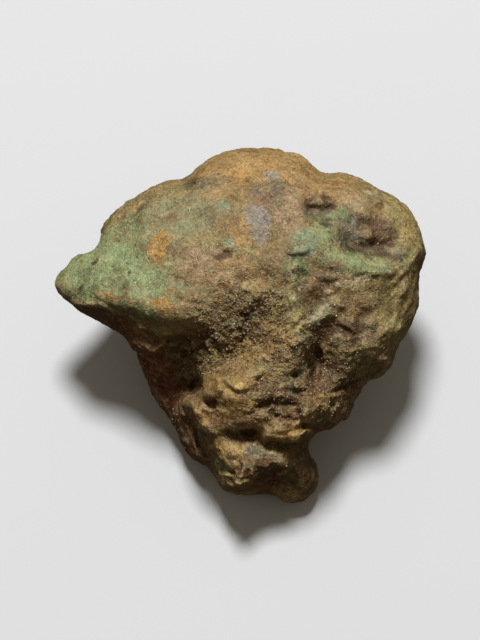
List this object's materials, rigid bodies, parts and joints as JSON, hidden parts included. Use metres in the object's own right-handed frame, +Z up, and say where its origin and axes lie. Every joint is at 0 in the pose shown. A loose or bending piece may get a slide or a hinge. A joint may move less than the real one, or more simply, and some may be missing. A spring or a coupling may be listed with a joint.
{
  "type": "rough turquoise stone",
  "caption": "Rough turquoise nugget: an irregular natural stone with a blunt nose, a domed crown, an overhung flank and a crumbly foot, lying on a broken face of its back.",
  "frame": {"origin": "under the middle of the stone's box, on the surface that it lies on", "axes": "+X to the right along the stone's longest extent, -Y to the front, which the face leans towards, +Z up along its shortest extent"},
  "size_m": [0.0352, 0.0314, 0.0228],
  "materials": {
    "turquoise_rock": "rough sandy rock stained with ochre, with matt sage-green turquoise, lilac-grey quartz and fine sparkling grains"
  },
  "bodies": {
    "root": {"turquoise_nugget": "turquoise_rock"}
  },
  "joints": []
}
